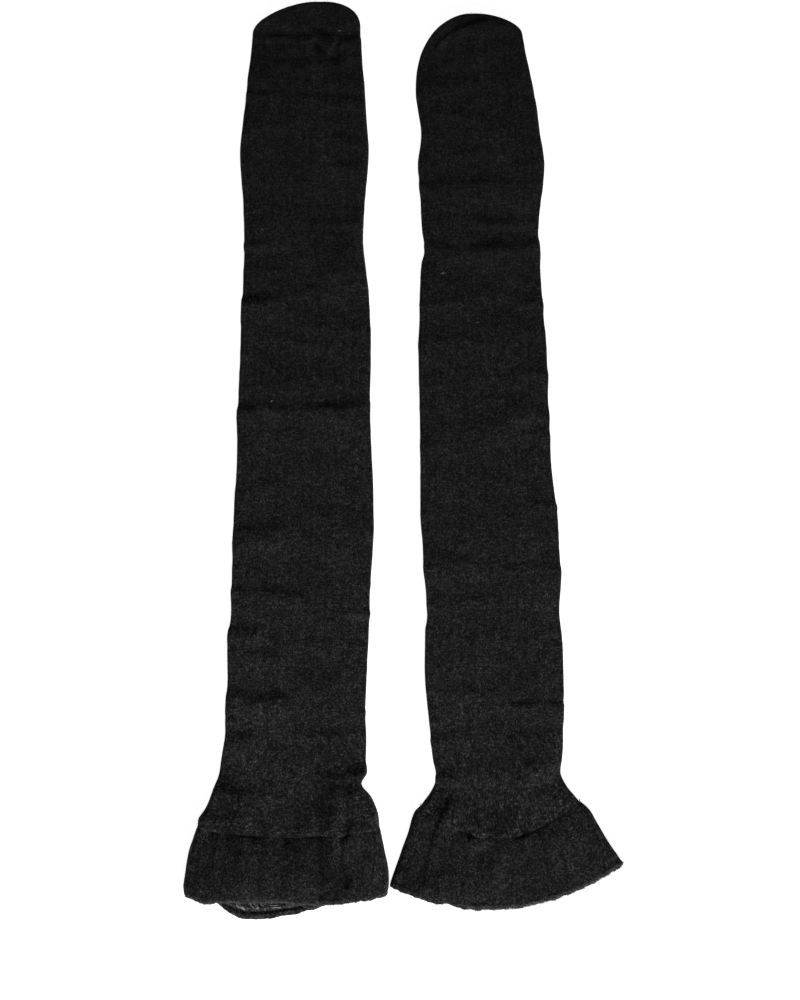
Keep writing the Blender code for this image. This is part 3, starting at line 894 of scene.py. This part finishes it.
def numbered(grid, first):
    """The numbers of a grid's points, counted from the first."""
    return first + np.arange(grid.shape[0] * grid.shape[1]).reshape(grid.shape[:2])


def closed_loft(name, grid, places, downs):
    """A wall whose last ring joins its first."""
    numbers = numbered(grid, 0)
    faces, uvs = [], []
    for index in range(len(grid)):
        add_band(faces, uvs, numbers, downs, places.wale, index, (index + 1) % len(grid))
    return make_object(name, grid.reshape(-1, 3), faces, uvs)


def tube_with_toe(name, outer, places, stations, inner, inner_stations):
    """A wall between two lofts, closed at the toe; the inner loft has every second place."""
    numbers = numbered(outer, 0)
    lining = numbered(inner, numbers.size)
    cap = numbers.size + lining.size
    caps = [outer[0].mean(axis=0), inner[0].mean(axis=0)]
    points = np.concatenate([outer.reshape(-1, 3), inner.reshape(-1, 3), caps])
    wales = places.wale
    faces, uvs = [], []
    for index in range(len(stations) - 1):
        add_band(faces, uvs, numbers, stations, wales, index, index + 1)
    for index in range(len(inner_stations) - 1):
        add_band(faces, uvs, lining, inner_stations, wales[::2], index + 1, index)
    end, under = numbers[-1], lining[-1]
    corners = end[::2], end[1::2], np.roll(end[::2], -1), under, np.roll(under, -1), wales[::2]
    for near, middle, far, lining_near, lining_far, wale in zip(*corners):
        faces.append([near, lining_near, middle])
        faces.append([middle, lining_near, lining_far, far])
        uvs.append(np.tile([wale, stations[-1] / COURSE], (7, 1)))
    for around, tip, turn in ((numbers[0], cap, 1), (lining[0], cap + 1, -1)):
        for index, pair in enumerate(zip(around, np.roll(around, -1))):
            faces.append([tip, *pair[::turn]])
            uvs.append(np.tile([wales[0] + index, stations[0] / COURSE], (3, 1)))
    return make_object(name, points, faces, uvs)


# ---- thread, nap and lint


def tubes(name, lines, radii, sides):
    """One mesh of many closed tapering tubes; lines is tubes by points by x, down and z."""
    lines = np.array(lines)
    radii = np.broadcast_to(radii, lines.shape[:2])
    count, steps = lines.shape[:2]
    heading = np.gradient(lines, axis=1)
    heading /= np.linalg.norm(heading, axis=2, keepdims=True) + 1e-9
    reference = np.zeros_like(heading)
    reference[..., 2] = 1.0
    reference[np.abs(heading[..., 2]) > 0.9] = (1.0, 0.0, 0.0)
    across = np.cross(heading, reference)
    across /= np.linalg.norm(across, axis=2, keepdims=True) + 1e-9
    rise = np.cross(across, heading)
    turns = np.arange(sides) * math.tau / sides
    offsets = across[:, :, None] * np.cos(turns)[:, None]
    offsets = offsets + rise[:, :, None] * np.sin(turns)[:, None]
    points = lines[:, :, None] + offsets * radii[:, :, None, None]
    numbers = np.arange(steps * sides).reshape(steps, sides)
    after = np.roll(numbers, -1, axis=1)
    quads = np.stack([numbers[:-1], after[:-1], after[1:], numbers[1:]], axis=2)
    tube = quads.reshape(-1, 4).tolist() + [numbers[0, ::-1].tolist(), numbers[-1].tolist()]
    starts = range(0, count * numbers.size, numbers.size)
    faces = [[start + corner for corner in face] for start in starts for face in tube]
    return make_object(name, points.reshape(-1, 3), faces)


def nap(sock, coat, roots, facing):
    """Short loose fibres that stand on the cloth, bent over by wear."""
    draw = np.random.default_rng(sock.seed + coat.seed + 1)
    count = len(roots)
    heading = draw.normal(size=(count, 3)) * (1.0, 1.0, 0.25)
    heading -= facing * np.sum(heading * facing, axis=1, keepdims=True)
    heading /= np.linalg.norm(heading, axis=1, keepdims=True) + 1e-9
    curl = np.cross(facing, heading)
    reach = coat.length * draw.uniform(0.45, 1.3, count)
    bend = reach * draw.uniform(-0.45, 0.45, count)
    height = reach * coat.lift * draw.uniform(0.2, 1.2, count)
    shares = np.array([0.0, 0.35, 0.7, 1.0])
    lines = roots[:, None] - 0.15 * facing[:, None]
    lines = lines + heading[:, None] * (reach[:, None] * shares)[..., None]
    lines = lines + curl[:, None] * (bend[:, None] * shares**2)[..., None]
    lines = lines + facing[:, None] * (height[:, None] * np.sin(2.4 * shares))[..., None]
    lines[..., 2] = np.maximum(lines[..., 2], 0.08)
    radii = coat.radius * draw.uniform(0.7, 1.3, count)[:, None] * (1.0 - 0.7 * shares)
    return tubes(coat.name + sock.name, lines, radii, 3)


def coat_on(sock, coat, grid, places, rows, stretch=None):
    """A coat of fibres at seeded places on these rings of a shell, or on a stretch of them."""
    first_x, last_x, count = stretch or (-math.inf, math.inf, coat.count)
    draw = np.random.default_rng(sock.seed + coat.seed)
    side, up = outward(places)
    showing = np.nonzero(up > coat.lowest)[0]
    columns = draw.choice(showing, count)
    roots = grid[draw.integers(*rows, count), columns]
    facing = np.stack([side[columns], np.zeros(count), up[columns]], axis=1)
    inside = (roots[:, 0] > first_x) & (roots[:, 0] < last_x)
    roots, facing = roots[inside], facing[inside]
    if coat.to_hem:
        facing[:, 1] = coat.to_hem
        facing /= np.linalg.norm(facing, axis=1, keepdims=True)
    return nap(sock, coat, roots, facing)


def surface_finder(shell, start_height=100.0):
    """A function that gives the height of the first cloth below this height at a place."""
    tree = BVHTree.FromObject(shell, bpy.context.evaluated_depsgraph_get())

    def top(x, down):
        start = Vector((x * MM, (TOP_EDGE - down) * MM, start_height * MM))
        spot = tree.ray_cast(start, Vector((0.0, 0.0, -1.0)))[0]
        return None if spot is None else spot.z / MM

    return top


def linking_stitches(sock, seam_ring, places):
    """A chain of slanted stitches along the seam that links the leg to its cuff, over all but its
    underside.
    """
    side, up = outward(places)
    lines = []
    shares = np.array([0.0, 0.3, 0.7, 1.0])[:, None]
    for index in range(0, len(places.wale), 2):
        if up[index] < -0.2:
            continue
        centre = seam_ring[index] + (0.0, -1.3, 0.0)
        facing = np.array([side[index], 0.0, up[index]])
        slant = 0.45 if index % 4 else -0.45
        line = centre + (shares - 0.5) * (slant, 1.5, 0.0)
        lines.append(line - facing * (0.55 + 0.5 * (2.0 * shares - 1.0) ** 2))
    return tubes("linking_" + sock.name, lines, (0.16, 0.27, 0.27, 0.16), 6)


def laid(path, top, lifts):
    """A path of (x, down) places laid on the cloth with these lifts; empty where it leaves it."""
    heights = [top(x, down) for x, down in path]
    if None in heights:
        return []
    return [[(*place, height + lift) for place, height, lift in zip(path, heights, lifts)]]


def toe_link(sock, top):
    """A row of short stitches along the path of the toe's seam on a shell."""
    pitch = 1.5
    shares = np.array([0.08, 0.36, 0.64, 0.92])
    draw = np.random.default_rng(sock.seed + 40)
    x_path, down_path = np.array(sock.toe_seam).T
    lengths = np.linalg.norm([np.diff(x_path), np.diff(down_path)], axis=0)
    travelled = np.concatenate([[0.0], np.cumsum(lengths)])
    lines = []
    for index in range(int(travelled[-1] / pitch)):
        place = (index + shares) * pitch
        x = np.interp(place, travelled, x_path)
        down = np.interp(place, travelled, down_path) + 0.25 * (shares - 0.5) * (-1) ** index
        lines += laid(list(zip(x, down)), top, 0.02 - 1.2 * (shares - 0.5) ** 2)
    lines = np.array(lines) + draw.normal(0.0, 0.03, (len(lines), 1, 3))
    return tubes("toe_link_" + sock.name, lines, (0.10, 0.17, 0.17, 0.10), 6)


def lint_specks(sock, top):
    """Tiny pale tufts that cling to the wool."""
    draw = np.random.default_rng(sock.seed + LINT_TUFT.seed)
    roots = []
    for x, down in sock.lint:
        height = top(x, down)
        for _ in range(LINT_TUFT.count):
            roots.append((x + draw.normal(0.0, 0.16), down + draw.normal(0.0, 0.16), height + 0.25))
    facing = np.tile([0.0, 0.0, 1.0], (len(roots), 1))
    return nap(sock, LINT_TUFT, np.array(roots), facing)


def loose_fibres(name, fibres, strands, spread, radius, top, seed):
    """Loose fibres that lie curved on the cloth, several strands to each listed fibre."""
    draw = np.random.default_rng(seed)
    shares = np.linspace(-0.5, 0.5, 6)
    lines = []
    for fibre in [fibre for fibre in fibres for _ in range(strands)]:
        turn = math.radians(fibre.angle)
        along = shares * (fibre.length * draw.uniform(0.7, 1.1))
        away = (fibre.bend + draw.normal(0.0, 0.2)) * (1.0 - 4.0 * shares * shares)
        x0 = fibre.x + draw.normal(0.0, spread)
        down0 = fibre.down + draw.normal(0.0, spread)
        x = x0 + along * math.cos(turn) - away * math.sin(turn)
        down = down0 + along * math.sin(turn) + away * math.cos(turn)
        lines += laid(list(zip(x, down)), top, [0.12] * len(shares))
    return tubes(name, lines, radius * np.array([0.4, 0.9, 1.0, 1.0, 0.8, 0.3]), 4)


# ---- materials


class Value:
    """A node's result that can be reckoned with; every step adds one Math node."""

    def __init__(self, tree, socket):
        self.tree = tree
        self.socket = socket

    def step(self, operation, *others):
        node = self.tree.nodes.new("ShaderNodeMath")
        node.operation = operation
        feed(self.tree, node, dict(enumerate((self,) + others)))
        return Value(self.tree, node.outputs[0])

    def __sub__(self, other):
        return self.step("SUBTRACT", other)

    def __mul__(self, other):
        return self.step("MULTIPLY", other)

    def times_plus(self, factor, extra):
        return self.step("MULTIPLY_ADD", factor, extra)


def feed(tree, node, inputs):
    """Gives a node's inputs, by name or number, a number, a colour or another node's result."""
    for name, value in inputs.items():
        if isinstance(value, Value):
            tree.links.new(value.socket, node.inputs[name])
        else:
            node.inputs[name].default_value = value


def result(tree, kind, inputs=None, output=0):
    """One output of a new node that has these inputs."""
    node = tree.nodes.new(kind)
    feed(tree, node, inputs or {})
    return Value(tree, node.outputs[output])


def combine(tree, x, y, z):
    return result(tree, "ShaderNodeCombineXYZ", {0: x, 1: y, 2: z})


def noise_at(place, scale, detail=2.0, roughness=0.6, distortion=0.0):
    inputs = {"Scale": scale, "Detail": detail, "Roughness": roughness, "Distortion": distortion}
    return result(place.tree, "ShaderNodeTexNoise", {"Vector": place, **inputs}, "Fac")


def marked(tree, name):
    """A value that the shell's points store."""
    value = result(tree, "ShaderNodeAttribute", output="Fac")
    value.socket.node.attribute_name = name
    return value


def new_material(name, roughness, specular, sheen):
    material = bpy.data.materials.new(name)
    material.use_nodes = True
    tree = material.node_tree
    shader = tree.nodes["Principled BSDF"]
    looks = {"Roughness": roughness, "Specular IOR Level": specular, "Sheen Weight": sheen}
    feed(tree, shader, {**looks, "Sheen Roughness": 0.6})
    return material, tree, shader


def finish(shader, grey, height=None, strength=0.0, distance=0.0):
    """Uses one value as the shader's neutral colour, and a height as its fine relief."""
    tree = grey.tree
    colour = result(tree, "ShaderNodeCombineColor", {0: grey, 1: grey, 2: grey})
    feed(tree, shader, {"Base Color": colour})
    if height is not None:
        inputs = {"Strength": strength, "Distance": distance * MM, "Height": height}
        feed(tree, shader, {"Normal": result(tree, "ShaderNodeBump", inputs)})


def knit_material(name, tone, seed, spread, grain, streak, contrast, growth):
    """Charcoal melange wool in fine rib knit, worked out in columns and rows of stitches.

    Spread is how wide a column is stretched against its row, grain how many flecks there are to
    a stitch, and streak how plainly the yarn's own shades run along a row.  Contrast is how
    strong the flecks are at the toe, and growth how much stronger each further row has them.
    """
    material, tree, shader = new_material(name, 0.95, 0.05, 0.03)
    uv = result(tree, "ShaderNodeUVMap")
    uv.socket.node.uv_map = "Knit"
    wale = result(tree, "ShaderNodeSeparateXYZ", {0: uv})
    course = Value(tree, wale.socket.node.outputs[1])

    # Each stitch is a V of two slanted strands.
    from_middle = (wale.step("FRACT") - 0.5).step("ABSOLUTE")
    slanted = from_middle.times_plus(1.5, course)
    strand = slanted.step("FRACT") - 0.5
    limb = from_middle.times_plus(4.0, -1.0)
    strand_round = (strand * strand).times_plus(-4.0, 1.0)
    stitch = strand_round * (limb * limb).times_plus(-0.8, 1.0)
    cell = combine(tree, (wale * 2.0).step("FLOOR"), slanted.step("FLOOR"), float(seed))

    # Melange: every strand has its own shade, and its fibres vary along it.
    strand_shade = result(tree, "ShaderNodeTexWhiteNoise", {"Vector": cell}, "Value") - 0.5
    plane = combine(tree, wale * spread, course, seed * 7.3)
    fibre = noise_at(plane, grain, 3.0, 0.7, 0.4) - 0.5
    fine, patch, cloud = (noise_at(plane, scale) - 0.5 for scale in (3.0, 0.22, 0.05))
    yarn = noise_at(combine(tree, wale * 0.22, course, seed * 3.1), 1.0) - 0.5
    shade = strand_shade * 1.5
    for part, weight in ((fibre, 4.9), (yarn, streak), (fine, 2.9)):
        shade = part.times_plus(weight, shade)
    shade = shade * course.times_plus(growth, contrast)

    # Painted shade: the colour is darkened in the grooves between strands, in the rib grooves and in
    # the bottoms of creases, where less light reaches.
    rib_wave = (wale * (math.tau / RIB_WALES)).step("COSINE")
    rib_groove_shade = rib_wave.times_plus(0.5, 0.5).step("POWER", 2.0)
    painted_crease_shade = marked(tree, "painted_crease_shade")
    for part, weight in ((patch, 1.1), (cloud, 0.7), (rib_groove_shade, -0.12), (stitch, 0.45), (painted_crease_shade, -0.55)):
        shade = part.times_plus(weight, shade)
    # Painted highlight on the hem's edge, and the paler yarn of the mouth's lining.
    shade = marked(tree, "pale_lining_and_hem_light").step("ADD", shade)
    height = fibre.times_plus(1.2, fine.times_plus(0.9, stitch))
    finish(shader, shade.step("EXPONENT") * tone, height, 0.7, 0.28)
    return material


def fibre_material(name, dark, light):
    """Single fibres, each with its own shade of grey."""
    material, tree, shader = new_material(name, 0.8, 0.15, 0.0)
    shade = result(tree, "ShaderNodeNewGeometry", output="Random Per Island")
    finish(shader, shade.step("POWER", 2.0).times_plus(light - dark, dark))
    return material


def thread_material(name, tone):
    """Twisted thread: fine uneven ridges, worked out from the place in the frame."""
    material, tree, shader = new_material(name, 0.85, 0.15, 0.05)
    grain = noise_at(result(tree, "ShaderNodeTexCoord", output="Object"), 2600.0, 3.0, 0.7)
    finish(shader, grain.times_plus(1.2, -0.6).step("EXPONENT") * tone, grain, 0.5, 0.1)
    return material


def floor_material():
    """A pale sheet of a light table: it glows, so the socks cast hardly any shadow on it."""
    material, tree, shader = new_material("pale_floor", 0.9, 0.2, 0.0)
    glow = {"Emission Color": (1.0, 1.0, 1.0, 1.0), "Emission Strength": 0.97}
    feed(tree, shader, {"Base Color": (0.9, 0.9, 0.9, 1.0), **glow})
    return material


# ---- stage


def make_floor():
    size = 3.0
    data = bpy.data.meshes.new("floor")
    corners = [(-size, -size), (size, -size), (size, size), (-size, size)]
    data.from_pydata([(x, y, -0.1 * MM) for x, y in corners], [], [[0, 1, 2, 3]])
    data.materials.append(floor_material())
    floor = bpy.data.objects.new("floor", data)
    bpy.context.scene.collection.objects.link(floor)


def light_scene():
    """One soft light from the hems' side and the right, strongest over the cuffs."""
    world = bpy.data.worlds.new("studio")
    world.use_nodes = True
    background = world.node_tree.nodes["Background"]
    feed(world.node_tree, background, {"Color": (1.0, 1.0, 1.0, 1.0), "Strength": 0.02})
    bpy.context.scene.world = world
    lamp = bpy.data.lights.new("key", "AREA")
    lamp.shape = "SQUARE"
    lamp.size = 0.55
    lamp.energy = 45.5
    light = bpy.data.objects.new("key", lamp)
    light.location = (0.46, -1.75, 0.74)
    target = Vector((-2.5, 0.9, 0.4))
    light.rotation_euler = (target - light.location).to_track_quat("-Z", "Y").to_euler()
    bpy.context.scene.collection.objects.link(light)


def make_camera():
    """Straight down on the pair, as it was seen."""
    lens = bpy.data.cameras.new("camera")
    lens.lens = 85.0
    lens.sensor_width = 36.0
    long_side = 0.710  # what the view's long side takes in, at the cloth
    cloth_height = 4.0
    centre_x, centre_y = -3.2, -28.3
    camera = bpy.data.objects.new("camera", lens)
    distance = long_side * lens.lens / lens.sensor_width
    camera.location = (centre_x * MM, centre_y * MM, distance + cloth_height * MM)
    bpy.context.scene.collection.objects.link(camera)
    bpy.context.scene.camera = camera


# ---- the pair


def dress_sock(sock, yarns):
    leg, leg_points, leg_places = leg_shell(sock)
    cuff, cuff_points, cuff_places, outside = cuff_shell(sock)
    bpy.context.view_layer.update()
    linking = linking_stitches(sock, cuff_points[0], cuff_places)
    leg_nap = coat_on(sock, LEG_NAP, leg_points, leg_places, (2, len(leg_points) - 1))
    on_cuff = cuff_points, cuff_places
    cuff_nap = coat_on(sock, CUFF_NAP, *on_cuff, (0, outside))
    hem_nap = coat_on(sock, HEM_NAP, *on_cuff, (outside - 6, outside + RIM_STEPS))
    fringe = coat_on(sock, FRINGE, *on_cuff, (outside - 4, outside + 3), sock.fringe)
    top = surface_finder(leg)
    lint = lint_specks(sock, top)
    toe = toe_link(sock, top)
    strays = loose_fibres("strays_" + sock.name, sock.loose, 2, 0.2, 0.06, top, sock.seed + 50)
    inside = []
    if sock.in_mouth:
        mouth = surface_finder(cuff, 6.0)
        threads = loose_fibres("mouth_threads", sock.in_mouth, 3, 0.22, 0.10, mouth, sock.seed + 60)
        inside.append(threads)

    made_of = [(leg, yarns.leg), (cuff, yarns.cuff), (strays, yarns.stray), (fringe, yarns.fuzz)]
    made_of += [(piece, yarns.thread) for piece in (linking, toe)]
    made_of += [(piece, yarns.fibres) for piece in (leg_nap, cuff_nap, hem_nap)]
    made_of += [(piece, yarns.pale) for piece in [lint] + inside]
    for piece, material in made_of:
        piece.data.materials.append(material)
        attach(piece, "root")
    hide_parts("leg_" + sock.name)
    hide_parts("cuff_" + sock.name)
    leg_cut, cuff_cut = sock.cuts


WOOL = Yarns(
    leg=knit_material("leg_wool", 0.0199, 1, 1.0, 1.15, 2.1, 0.70, 0.00090),
    cuff=knit_material("cuff_wool", 0.0172, 2, 2.0, 1.50, 0.8, 1.28, 0.0),
    thread=thread_material("charcoal_thread", 0.018),
    fibres=fibre_material("wool_fibres", 0.01, 0.16),
    pale=fibre_material("pale_fibres", 0.60, 0.92),
    stray=fibre_material("stray_fibres", 0.10, 0.22),
    fuzz=fibre_material("hem_fuzz", 0.05, 0.40),
)
for each_sock in (LEFT_SOCK, RIGHT_SOCK):
    dress_sock(each_sock, WOOL)

make_floor()
light_scene()
make_camera()
bpy.context.scene.view_settings.view_transform = "Standard"
